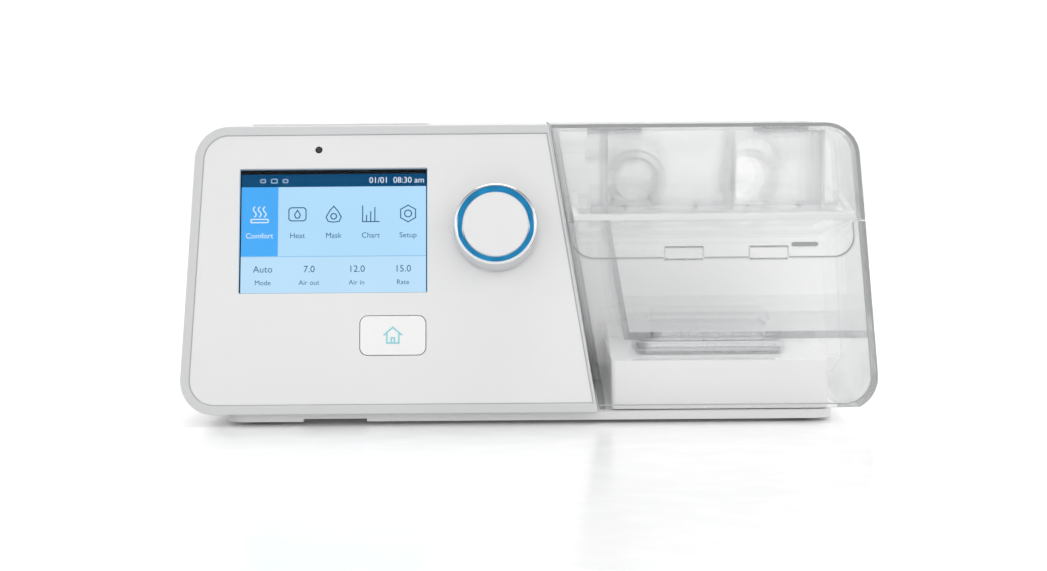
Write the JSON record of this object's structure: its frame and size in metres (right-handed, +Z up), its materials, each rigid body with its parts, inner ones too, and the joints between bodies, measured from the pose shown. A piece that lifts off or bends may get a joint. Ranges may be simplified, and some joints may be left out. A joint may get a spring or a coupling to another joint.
{
  "type": "mechanical ventilator",
  "caption": "Bedside bilevel ventilator with a colour display, a push and turn knob and a clear water tank that slides out of a heated dock.",
  "frame": {"origin": "on the surface it stands on, under the middle of its outer box", "axes": "+X to the right of a person facing the display, +Y to the back, +Z up"},
  "size_m": [0.265, 0.145, 0.114],
  "materials": {
    "casing": "satin white moulded ABS",
    "panel": "smooth white moulded ABS",
    "base": "matt light grey moulded ABS",
    "button": "smooth white plastic",
    "foot_rubber": "matt grey rubber",
    "steel": "plain steel",
    "motor": "cast, matt",
    "heater_metal": "fine turned aluminium",
    "knob_metal": "bright chrome plating",
    "light_ring": "clear blue light guide",
    "screen_glass": "clear acrylic display window",
    "display": "lit colour display",
    "dark_plastic": "matt dark plastic",
    "board": "green circuit board",
    "silicone": "translucent pale silicone",
    "filter_foam": "open cell foam",
    "clear": "polished clear polycarbonate"
  },
  "bodies": {
    "root": {"main_casing": "casing", "front_panel": "panel", "rear_panel": "casing", "base_tray": "base", "foot_1": "foot_rubber", "foot_2": "foot_rubber", "foot_3": "foot_rubber", "foot_4": "foot_rubber", "base_screw_1": "steel", "base_screw_2": "steel", "base_screw_3": "steel", "base_screw_4": "steel", "screen_window": "screen_glass", "lcd_module": "display", "light_sensor": "dark_plastic", "main_board": "board", "home_switch": "dark_plastic", "encoder_body": "dark_plastic", "power_board": "board", "power_switch": "dark_plastic", "blower_base": "dark_plastic", "blower_cover": "dark_plastic", "motor_stator": "motor", "blower_mount": "silicone", "air_duct": "silicone", "filter_housing": "panel", "air_filter": "filter_foam", "dc_inlet": "dark_plastic", "sd_socket": "steel", "speaker": "dark_plastic", "dock_housing": "casing", "dock_floor": "panel", "heater_film": "dark_plastic", "heater_plate": "heater_metal", "inlet_seal": "silicone", "outlet_seal": "silicone", "outlet_port": "panel"},
    "knob_plunger": {"encoder_stem": "dark_plastic"},
    "knob": {"knob_skirt": "knob_metal", "knob_light_ring": "light_ring", "knob_cap": "button", "encoder_shaft": "steel"},
    "home_key": {"home_button": "button"},
    "start_bar": {"power_button": "button"},
    "rotor": {"impeller": "panel", "motor_shaft": "steel"},
    "tank": {"tank_body": "clear", "tank_heat_plate": "steel", "plate_seal": "silicone", "hinge_pin_left": "steel", "hinge_pin_right": "steel"},
    "lid": {"tank_lid": "clear", "lid_seal": "silicone", "lid_baffle": "clear"},
    "latch_left": {"lid_latch_left": "clear"},
    "latch_right": {"lid_latch_right": "clear"},
    "filter_door": {"filter_cover": "casing"},
    "card": {"sd_card": "dark_plastic"}
  },
  "joints": [
    {"name": "knob_push", "type": "slide", "parent": "root", "child": "knob_plunger", "axis": [0, 0.9613, -0.2756], "range_m": [0, 0.0005], "stiffness_N_per_m": 3000},
    {"name": "knob_turn", "type": "hinge", "parent": "knob_plunger", "child": "knob", "pos_m": [-0.0122, -0.05872, 0.07431], "axis": [0, -0.9613, 0.2756], "continuous": true},
    {"name": "home_press", "type": "slide", "parent": "root", "child": "home_key", "axis": [0, 0.9613, -0.2756], "range_m": [0, 0.0006], "stiffness_N_per_m": 900},
    {"name": "start_press", "type": "slide", "parent": "root", "child": "start_bar", "axis": [0, 0, -1], "range_m": [0, 0.0008], "stiffness_N_per_m": 1500},
    {"name": "impeller_spin", "type": "hinge", "parent": "root", "child": "rotor", "pos_m": [-0.062, 0.018, 0.0445], "axis": [0, 0, 1], "continuous": true},
    {"name": "tank_slide", "type": "slide", "parent": "root", "child": "tank", "axis": [0, -1, 0], "range_m": [0, 0.12]},
    {"name": "lid_hinge", "type": "hinge", "parent": "tank", "child": "lid", "pos_m": [0.0708, 0.0365, 0.1099], "axis": [-1, 0, 0], "range_deg": [0, 90]},
    {"name": "latch_left_flex", "type": "hinge", "parent": "lid", "child": "latch_left", "pos_m": [0.0598, -0.05413, 0.06477], "axis": [-1, 0, 0], "range_deg": [0, 12], "stiffness_Nm_per_rad": 0.06},
    {"name": "latch_right_flex", "type": "hinge", "parent": "lid", "child": "latch_right", "pos_m": [0.0923, -0.05413, 0.06477], "axis": [-1, 0, 0], "range_deg": [0, 12], "stiffness_Nm_per_rad": 0.06},
    {"name": "filter_door_hinge", "type": "hinge", "parent": "root", "child": "filter_door", "pos_m": [-0.089, 0.0723, 0.0926], "axis": [1, 0, 0], "range_deg": [0, 90]},
    {"name": "card_slide", "type": "slide", "parent": "root", "child": "card", "axis": [0, 1, 0], "range_m": [0, 0.018]}
  ]
}
